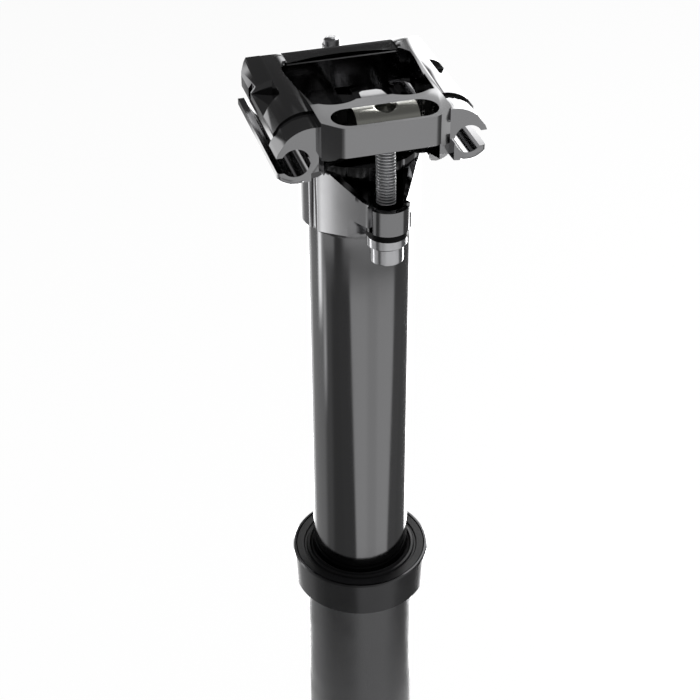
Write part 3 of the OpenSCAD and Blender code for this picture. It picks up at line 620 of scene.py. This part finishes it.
def rounded_copy(
    node: bpy.types.Object, name: str, width_mm: float,
    shape: Callable[[bmesh.types.BMesh], None] | None, over_deg: float = 28.0,
) -> bpy.types.Object:
    """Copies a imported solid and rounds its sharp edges, as tumbling and coating do.

    Args:
        node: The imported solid.
        name: The new piece's name.
        width_mm: The rounding's width.
        shape: What else is done to its mesh, before the rounding.
        over_deg: Only edges sharper than this are rounded.

    Returns:
        The rounded piece.
    """
    bm = bmesh.new()
    bm.from_mesh(node.data)
    bmesh.ops.remove_doubles(bm, verts=bm.verts, dist=WELD)
    bmesh.ops.dissolve_limit(
        bm, angle_limit=math.radians(MERGE_DEG), verts=bm.verts, edges=bm.edges,
    )
    if shape:
        shape(bm)
    bmesh.ops.recalc_face_normals(bm, faces=bm.faces)
    obj = mesh_object(name, bm, FORGING_DEG)
    bevel = obj.modifiers.new("rounding", "BEVEL")
    bevel.width = width_mm * MM
    bevel.segments = ROUNDING_SEGMENTS
    bevel.limit_method = "ANGLE"
    bevel.angle_limit = math.radians(over_deg)
    bevel.use_clamp_overlap = True
    bevel.harden_normals = True
    apply_modifiers(obj, name)
    return obj


@dataclass(frozen=True)
class Rounding:
    """How a packed forging is rounded, and the body that its copy rides on."""

    width_mm: float
    body: str
    shape: Callable[[bmesh.types.BMesh], None] | None = None


ROUNDED: dict[str, Rounding] = {
    "upper_clamp": Rounding(0.45, "saddle_clamp"),
    "lower_cradle": Rounding(0.4, "saddle_clamp", CradleForm().apply),
    "post_head": Rounding(0.45, "upper_post", crown_flanks),
}


# ---------------------------------------------------------------- clamp bolts


# The wire that is wound for the thread, with its radius as a share of the pitch
THREAD_WIRE = 0.36
TURN_POINTS = 40
WIRE_SIDES = 12
BOLT_SIDES = 72
NUT_SIDES = 96
CHAMFER_STEPS = 5
DRILL_SIDES = 48
DRILL_LENGTH = 20.0


def thread_group(name: str) -> bpy.types.GeometryNodeTree:
    """Makes the node group that winds a rolled thread round a shank.

    Args:
        name: The group's name.

    Returns:
        A group with named inputs for the thread's sizes and its material.
    """
    group = bpy.data.node_groups.new(name, "GeometryNodeTree")
    face = group.interface
    face.new_socket("Geometry", in_out="INPUT", socket_type="NodeSocketGeometry")
    for label in ("Crest Radius", "Pitch", "Start", "Length"):
        face.new_socket(label, in_out="INPUT", socket_type="NodeSocketFloat")
    face.new_socket("Material", in_out="INPUT", socket_type="NodeSocketMaterial")
    face.new_socket("Geometry", in_out="OUTPUT", socket_type="NodeSocketGeometry")
    given = add_node(group, "NodeGroupInput").outputs
    turns = maths(group, "DIVIDE", given["Length"], given["Pitch"])
    wire = maths(group, "MULTIPLY", given["Pitch"], THREAD_WIRE)
    middle = maths(group, "SUBTRACT", given["Crest Radius"], wire)
    spiral = add_node(
        group, "GeometryNodeCurveSpiral",
        {"Resolution": TURN_POINTS, "Rotations": turns, "Start Radius": middle,
         "End Radius": middle, "Height": given["Length"]},
    )
    section = add_node(
        group, "GeometryNodeCurvePrimitiveCircle", {"Resolution": WIRE_SIDES, "Radius": wire},
    )
    swept = add_node(
        group, "GeometryNodeCurveToMesh",
        {"Curve": spiral.outputs["Curve"], "Profile Curve": section.outputs["Curve"],
         "Fill Caps": True},
    )
    lift = add_node(group, "ShaderNodeCombineXYZ", {"Z": given["Start"]})
    placed = add_node(
        group, "GeometryNodeTransform",
        {"Geometry": swept.outputs["Mesh"], "Translation": lift.outputs["Vector"]},
    )
    dressed = add_node(
        group, "GeometryNodeSetMaterial",
        {"Geometry": placed.outputs["Geometry"], "Material": given["Material"]},
    )
    both = add_node(
        group, "GeometryNodeJoinGeometry", {"Geometry": dressed.outputs["Geometry"]},
    )
    group.links.new(given["Geometry"], both.inputs["Geometry"])
    add_node(group, "NodeGroupOutput", {"Geometry": both.outputs["Geometry"]})
    return group


def set_input(modifier: bpy.types.Modifier, label: str, value: object) -> None:
    """Sets one named input of a Geometry Nodes modifier.

    Args:
        modifier: The modifier.
        label: The input's name.
        value: What it is set to.
    """
    for item in modifier.node_group.interface.items_tree:
        if item.item_type == "SOCKET" and item.in_out == "INPUT" and item.name == label:
            modifier[item.identifier] = value


@dataclass(frozen=True)
class ClampBolt:
    """A socket-head bolt with a rolled thread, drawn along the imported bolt's own axis.

    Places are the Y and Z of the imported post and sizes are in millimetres. Heights along the
    bolt count from the centre of the ball seat under its head.
    """

    sense: Sense
    nut: tuple[float, float]
    ear_y: float = 23.9
    ball_z: float = 121.5613
    shank_d: float = 5.0
    pitch: float = 0.8
    thread_depth: float = 0.44
    head_d: float = 8.3
    head_h: float = 4.7
    # The head's rings, as how far each lies inside its edge and above its foot or below its top
    foot_rings: tuple[tuple[float, float], ...] = ((0.2, 0.0), (0.05, 0.05), (0.0, 0.2), (0.0, 0.4))
    top_rings: tuple[tuple[float, float], ...] = ((0.0, 0.7), (0.0, 0.45), (0.12, 0.15), (0.4, 0.0))
    neck_out: float = 0.15
    neck_rise: float = 0.2
    under: float = 8.0987
    length: float = 33.0
    tip_chamfer: float = 0.3
    thread_from: float = 10.8
    thread_short: float = 1.6
    socket_flats: float = 4.0
    socket_depth: float = 2.6

    def run(self) -> tuple[float, float]:
        """Gives the way along Y and Z from the ball seat's centre to the nut's."""
        return self.nut[0] - self.sense.value * self.ear_y, self.nut[1] - self.ball_z

    def axis(self) -> Matrix:
        """Gives the frame whose Z runs up the bolt from the ball seat's centre."""
        base = Vector((0, self.sense.value * self.ear_y, self.ball_z)) * MM
        return Matrix.Translation(base) @ Matrix.Rotation(-math.atan2(*self.run()), 4, "X")

    def build(
        self, name: str, group: bpy.types.GeometryNodeTree, paint: Paintbox,
    ) -> bpy.types.Object:
        """Makes the bolt in its place."""
        foot, tip = self.under - self.head_h, self.under + self.length
        head_r, core = self.head_d / 2, self.shank_d / 2 - self.thread_depth
        profile = [(head_r - inset, foot + lift) for inset, lift in self.foot_rings]
        profile += [(head_r - inset, self.under - drop) for inset, drop in self.top_rings]
        profile += [
            (self.shank_d / 2 + self.neck_out, self.under), (core, self.under + self.neck_rise),
            (core, tip - self.tip_chamfer), (core - self.tip_chamfer, tip),
        ]
        bm = bmesh.new()
        rings = lathe(bm, profile, BOLT_SIDES)
        bm.faces.new(rings[-1])
        self._sink_socket(bm, rings[0], foot)
        bmesh.ops.recalc_face_normals(bm, faces=bm.faces)
        obj = mesh_object(name, bm, BOLT_DEG)
        obj.data.materials.append(paint.get("bolt_steel"))
        thread = obj.modifiers.new("thread", "NODES")
        thread.node_group = group
        set_input(thread, "Crest Radius", self.shank_d / 2 * MM)
        set_input(thread, "Pitch", self.pitch * MM)
        set_input(thread, "Start", (self.under + self.thread_from) * MM)
        set_input(thread, "Length", (self.length - self.thread_short - self.thread_from) * MM)
        # The thread takes the bolt's steel painted lighter, a painted highlight on its ridges
        set_input(thread, "Material", paint.get("thread_steel_lit"))
        mesh = apply_modifiers(obj, name)
        mesh.transform(self.axis())
        mesh.shade_smooth()
        mesh.set_sharp_from_angle(angle=math.radians(THREAD_DEG))
        return obj

    def _sink_socket(
        self, bm: bmesh.types.BMesh, edge: Sequence[bmesh.types.BMVert], foot: float,
    ) -> None:
        """Closes the head's lower face round a hexagonal socket for the wrench."""
        mouth, floor = [], []
        for i in range(BOLT_SIDES):
            a = math.tau * i / BOLT_SIDES
            off_flat = (a + math.pi / 6) % (math.pi / 3) - math.pi / 6
            r = self.socket_flats / 2 * MM / math.cos(off_flat)
            for ring, z in ((mouth, foot), (floor, foot + self.socket_depth)):
                ring.append(bm.verts.new((r * math.cos(a), r * math.sin(a), z * MM)))
        join_rings(bm, (floor, mouth, edge))
        bm.faces.new(list(reversed(floor)))


@dataclass(frozen=True)
class BarrelNut:
    """The turned bar that a bolt screws into, with a shallow trough filed over its hole.

    It lies along X, and its sizes are in millimetres.
    """

    bolt: ClampBolt
    left: float = -7.95
    right: float = 7.6
    radius: float = 4.2
    end_chamfer: float = 0.7
    trough: float = 0.5
    trough_floor: float = 2.15
    trough_top: float = 2.95
    hole_d: float = 5.2

    def build(self, name: str) -> bpy.types.Object:
        """Makes the nut in its place."""
        bm = bmesh.new()
        rings = [self._ring(bm, x, r) for x, r in self._stations()]
        join_rings(bm, rings)
        bm.faces.new(rings[0])
        bm.faces.new(rings[-1])
        bmesh.ops.recalc_face_normals(bm, faces=bm.faces)
        obj = mesh_object(name, bm, NUT_DEG)
        drill = bmesh.new()
        bmesh.ops.create_cone(
            drill, cap_ends=True, segments=DRILL_SIDES, radius1=self.hole_d / 2 * MM,
            radius2=self.hole_d / 2 * MM, depth=DRILL_LENGTH * MM,
        )
        tool = mesh_object("drill", drill, FORGING_DEG)
        hole = obj.modifiers.new("hole", "BOOLEAN")
        hole.object = tool
        hole.solver = "EXACT"
        mesh = apply_modifiers(obj, name)
        bpy.data.objects.remove(tool)
        up_bolt = Matrix.Translation(Vector((0, 0, math.hypot(*self.bolt.run()) * MM)))
        mesh.transform(self.bolt.axis() @ up_bolt)
        mesh.set_sharp_from_angle(angle=math.radians(NUT_DEG))
        return obj

    def _stations(self) -> list[tuple[float, float]]:
        """Gives the X and the radius of each ring, from the left end to the right."""
        end = []
        for i in range(CHAMFER_STEPS + 1):
            bite = self.end_chamfer * (1 - math.sin(math.pi / 2 * i / CHAMFER_STEPS))
            end.append((self.left + bite, self.radius - bite))
        trough = (-self.trough_top, -self.trough_floor, self.trough_floor, self.trough_top)
        middle = [(x, self.radius) for x in trough]
        return end + middle + [(self.left + self.right - x, r) for x, r in reversed(end)]

    def _ring(self, bm: bmesh.types.BMesh, x: float, r: float) -> list[bmesh.types.BMVert]:
        """Adds the points of one ring, cut off level where the trough is."""
        in_trough = abs(x) < self.trough_top - SLIVER_MM
        top = self.radius - self.trough if in_trough else self.radius
        ring = []
        for i in range(NUT_SIDES):
            a = math.tau * i / NUT_SIDES
            ring.append(
                bm.verts.new((x * MM, r * math.cos(a) * MM, min(r * math.sin(a), top) * MM)))
        return ring


# Each bolt, with the Y and Z of its nut's centre
BOLTS: dict[str, ClampBolt] = {
    "front_bolt": ClampBolt(Sense.FRONT, (-21.4, 161.6)),
    "rear_bolt": ClampBolt(Sense.REAR, (25.2, 154.7)),
}


# ---------------------------------------------------------------- studio


@dataclass(frozen=True)
class Patch:
    """One soft-edged panel of the light tent, white or black, as seen from the post.

    Azimuths are in degrees from -Y and turn to +X. Elevations are in degrees above the horizon,
    with soft for the panel's upper and lower edges and feather for its sides. Slant is how far
    the panel turns per degree below its top.
    """

    azimuth: float
    half: float
    low: float
    high: float
    grey: float
    soft: float = 1.0
    feather: float = 5.0
    slant: float = 0.0


# The tent's panels, each hung over the ones before it. The clamp mirrors the tent above the
# horizon, the head at about -16 degrees, the tube from -20 to -46 and the lower tube below, so
# each tier lights its own part of the post.
TENT_BASE = 0.28
TENT: tuple[Patch, ...] = (
    # Tier of the tubes, with a white rim light behind them
    Patch(-152, 12, -95, -14, 1.6, feather=8),
    Patch(-126, 24, -95, -14, 0.58, feather=7),
    Patch(-61, 21, -95, -12, 0.16, feather=6),
    Patch(-8, 30, -95, -22.5, 1.12, soft=0.6, feather=4),
    Patch(38, 26, -95, -22.5, 1.12, soft=0.6, feather=4),
    Patch(11, 11, -95, -22.5, 0.98, soft=0.6, feather=6),
    Patch(92, 24, -95, -12, 0.21),
    Patch(157, 37, -95, -14, 8.0, feather=4),
    Patch(-100, 3, -33, -22.8, 1.9, soft=2.5),
    Patch(13, 46, -95, -48, 0.6, soft=2, feather=12),
    Patch(-52, 14, -62, -24, 0.17, soft=2, feather=3, slant=0.58),
    Patch(79, 12, -62, -25, 0.25, soft=2, feather=3, slant=-0.75),
    Patch(0, 181, -95, -62, 0.15, soft=3),
    # Tier of the head, whose flank mirrors the strip at the left as it turns away
    Patch(-134, 17, -20.8, -11, 0.5, feather=6),
    Patch(-86, 13, -20.8, -11, 0.85, feather=4),
    Patch(8, 60, -19.6, -11, 1.2, soft=0.5, feather=8),
    Patch(88, 18, -20.8, -11, 0.2, feather=6),
    Patch(-173, 12, -20.5, -11, 2.6, feather=5),
    Patch(144, 6, -20.5, -14, 8.0, feather=3),
    Patch(-107, 5, -26, -11, 1.3, soft=1.5, feather=6),
    Patch(-113, 5, -26, -11, 4.4, soft=1.5, feather=2.5),
    # Tier of the clamp's upright faces
    Patch(0, 100, -3, 40, 0.04, soft=2),
    Patch(-62, 17, -11, 3, 0.13),
    Patch(12, 36, -11, -2, 1.15, feather=14),
    Patch(82, 12, -11, 3, 0.20, feather=6),
    Patch(104, 7, -11, 0, 1.1, feather=4),
    # The barrel nut's crest mirrors this panel behind the clamp
    Patch(163, 14, -14, 24, 3.0, soft=2, feather=3),
    # Tier of its roofs and flats, dark behind and above, with white panels at the right
    Patch(0, 181, 62, 95, 0.15, soft=4),
    Patch(-163, 32, 28, 62, 0.10, soft=2),
    Patch(158, 14, 49.5, 62, 0.10),
    Patch(-142, 12, 2, 25, 1.5, soft=2, feather=4),
    Patch(144, 13, -2, 44, 5.2, soft=2, feather=2),
    Patch(138, 10, 40, 60, 5.2, soft=2, feather=2),
    Patch(161, 8, 43, 48.5, 1.15, soft=0.7, feather=1),
    Patch(164, 3.5, 34, 41.5, 2.5, feather=2),
)


@dataclass(frozen=True)
class Lamp:
    """A rectangular soft lamp, with its places and sizes in metres."""

    name: str
    place: tuple[float, float, float]
    aim: tuple[float, float, float]
    size: tuple[float, float]
    watts: float

    def hang(self) -> None:
        """Puts the lamp into the scene, where mirrors don't show it."""
        data = bpy.data.lights.new(self.name, "AREA")
        data.shape = "RECTANGLE"
        data.size, data.size_y = self.size
        data.energy = self.watts
        lamp = add_object(self.name, data)
        lamp.location = self.place
        beam = Vector(self.aim) - Vector(self.place)
        lamp.rotation_euler = beam.to_track_quat("-Z", "Y").to_euler()
        lamp.visible_glossy = False


@dataclass(frozen=True)
class Studio:
    """The pale floor, the lamps, the light tent that the metal mirrors, and the camera."""

    sky_light: float = 0.45
    floor_z: float = -0.1945
    floor_half: float = 6.0
    floor_colour: str = "#F2F2F2"
    floor_glow: float = 0.88
    lamps: tuple[Lamp, ...] = (
        Lamp("right key", (0.85, -0.05, 0.75), (0, 0, 0.1), (0.9, 0.9), 14.0),
        Lamp("left rim", (-0.8, 0.55, 0.45), (0, 0, 0.05), (0.35, 0.9), 3.0),
    )
    tent_reach: float = 0.30
    tent_z: float = 0.06
    tent_segments: int = 48
    camera_mm: tuple[float, float, float] = (-105.0, -356.2, 341.3)
    pitch_deg: float = 34.99
    azimuth_deg: float = 16.005
    roll_deg: float = -0.3275
    lens_mm: float = 85.0
    sensor_mm: float = 36.0
    clip_start: float = 0.01

    def build(self) -> None:
        """Makes everything that isn't part of the object."""
        self._world()
        self._floor()
        for lamp in self.lamps:
            lamp.hang()
        self._tent()
        self._camera()
        bpy.context.scene.view_settings.view_transform = "Standard"

    def _world(self) -> None:
        """Gives a white backdrop to the camera and mirrors, and a weaker sky to the object."""
        world = bpy.data.worlds.new("studio")
        bpy.context.scene.world = world
        tree = emptied(world)
        white = add_node(tree, "ShaderNodeBackground", {"Color": WHITE, "Strength": 1.0})
        sky = add_node(tree, "ShaderNodeBackground", {"Color": WHITE, "Strength": self.sky_light})
        both = add_node(
            tree, "ShaderNodeMixShader",
            {0: seen_or_mirrored(tree), 1: sky.outputs[0], 2: white.outputs[0]},
        )
        add_node(tree, "ShaderNodeOutputWorld", {"Surface": both.outputs[0]})

    def _floor(self) -> None:
        """Lays a pale floor that shows white and keeps a soft shadow."""
        corners = ((-1, -1), (1, -1), (1, 1), (-1, 1))
        bm = bmesh.new()
        bm.faces.new(
            [bm.verts.new((x * self.floor_half, y * self.floor_half, self.floor_z))
             for x, y in corners])
        obj = mesh_object("floor", bm, None)
        mat = bpy.data.materials.new("pale floor")
        tree = emptied(mat)
        matt = add_node(tree, "ShaderNodeBsdfDiffuse", {"Color": linear(self.floor_colour)})
        glow = add_node(tree, "ShaderNodeEmission", {"Color": WHITE, "Strength": 1.0})
        part = maths(tree, "MULTIPLY", seen_or_mirrored(tree), self.floor_glow)
        both = add_node(
            tree, "ShaderNodeMixShader", {0: part, 1: matt.outputs[0], 2: glow.outputs[0]},
        )
        add_node(tree, "ShaderNodeOutputMaterial", {"Surface": both.outputs[0]})
        obj.data.materials.append(mat)

    def _tent(self) -> None:
        """Closes a tent round the post, seen only in reflections, with bright and dark areas."""
        bm = bmesh.new()
        bmesh.ops.create_uvsphere(
            bm, u_segments=self.tent_segments, v_segments=self.tent_segments // 2,
            radius=self.tent_reach,
        )
        bmesh.ops.reverse_faces(bm, faces=bm.faces)
        obj = mesh_object("light tent", bm, None)
        obj.location.z = self.tent_z
        mat = bpy.data.materials.new("light tent")
        tree = emptied(mat)
        glow = add_node(
            tree, "ShaderNodeEmission", {"Color": WHITE, "Strength": self._tent_grey(tree)},
        )
        add_node(tree, "ShaderNodeOutputMaterial", {"Surface": glow.outputs[0]})
        obj.data.materials.append(mat)
        obj.visible_camera = False
        obj.visible_diffuse = False
        obj.visible_shadow = False
        obj.visible_transmission = False

    @staticmethod
    def _tent_grey(tree: bpy.types.NodeTree) -> bpy.types.NodeSocket:
        """Works out the tent's brightness in each direction from its panels."""
        calc = partial(maths, tree)

        def ramp(value: bpy.types.NodeSocket, start: float, end: float) -> bpy.types.NodeSocket:
            """Rises smoothly from nought at the start to one at the end."""
            return add_node(
                tree, "ShaderNodeMapRange", {"Value": value, "From Min": start, "From Max": end},
                interpolation_type="SMOOTHSTEP",
            ).outputs["Result"]

        place = add_node(tree, "ShaderNodeTexCoord").outputs["Object"]
        away = add_node(tree, "ShaderNodeVectorMath", {0: place}, operation="NORMALIZE")
        split = add_node(tree, "ShaderNodeSeparateXYZ", {0: away.outputs["Vector"]}).outputs
        turn = calc("DEGREES", calc("ARCTAN2", split["X"], calc("MULTIPLY", split["Y"], -1.0)))
        rise = calc("DEGREES", calc("ARCSINE", split["Z"]))
        grey: object = TENT_BASE
        for patch in TENT:
            slide = calc("MULTIPLY", calc("SUBTRACT", patch.high, rise), patch.slant)
            aside = calc("SUBTRACT", turn, calc("ADD", slide, patch.azimuth))
            off = calc("ABSOLUTE", calc("WRAP", aside, 180.0, -180.0))
            across = ramp(off, patch.half + patch.feather, patch.half - patch.feather)
            over = ramp(rise, patch.low - patch.soft, patch.low + patch.soft)
            below = ramp(rise, patch.high + patch.soft, patch.high - patch.soft)
            mask = calc("MULTIPLY", across, calc("MULTIPLY", over, below))
            grey = mix(tree, "FLOAT", mask, grey, patch.grey)
        return grey

    def _camera(self) -> None:
        """Sets the camera where the photograph was taken from."""
        turn, tilt, roll = (
            math.radians(v) for v in (self.azimuth_deg, self.pitch_deg, self.roll_deg))
        look = Vector((math.sin(turn) * math.cos(tilt), math.cos(turn) * math.cos(tilt),
                       -math.sin(tilt)))
        level = Vector((math.cos(turn), -math.sin(turn), 0))
        upright = level.cross(look)
        right = level * math.cos(roll) + upright * math.sin(roll)
        up = upright * math.cos(roll) - level * math.sin(roll)
        data = bpy.data.cameras.new("camera")
        data.lens = self.lens_mm
        data.sensor_width = self.sensor_mm
        data.clip_start = self.clip_start
        camera = add_object("camera", data)
        facing_it = Matrix((right, up, -look)).transposed().to_4x4()
        camera.matrix_world = Matrix.Translation(Vector(self.camera_mm) * MM) @ facing_it
        bpy.context.scene.camera = camera


# ---------------------------------------------------------------- assembly


def main() -> None:
    """Builds and dresses the whole post."""
    logging.basicConfig(level=logging.INFO, format="%(name)s: %(message)s")
    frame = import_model()
    paint = Paintbox()
    for name, node in frame["nodes"].items():
        paint.dress(node, NODE_FINISH[name])
        node.data.shade_smooth()
        node.data.set_sharp_from_angle(angle=math.radians(PACKED_DEG))
    LOG.info("dressed %d packed pieces", len(frame["nodes"]))
    for name, how in ROUNDED.items():
        body = how.body
        piece = rounded_copy(frame["nodes"][name], f"{name}_rounded", how.width_mm, how.shape)
        paint.dress(piece, NODE_FINISH[name])
        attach(piece, body)
        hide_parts(name)
    threads = thread_group("rolled thread")
    for name, bolt in BOLTS.items():
        piece = bolt.build(f"{name}_threaded", threads, paint)
        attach(piece, f"{name}_group")
        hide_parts(name)
        if bolt.sense is Sense.FRONT:
            nut = BarrelNut(bolt).build("front_nut_turned")
            paint.dress(nut, "nut_alu")
            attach(nut, "front_nut")
            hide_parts("front_barrel_nut")
    Studio().build()


if __name__ == "__main__":
    main()
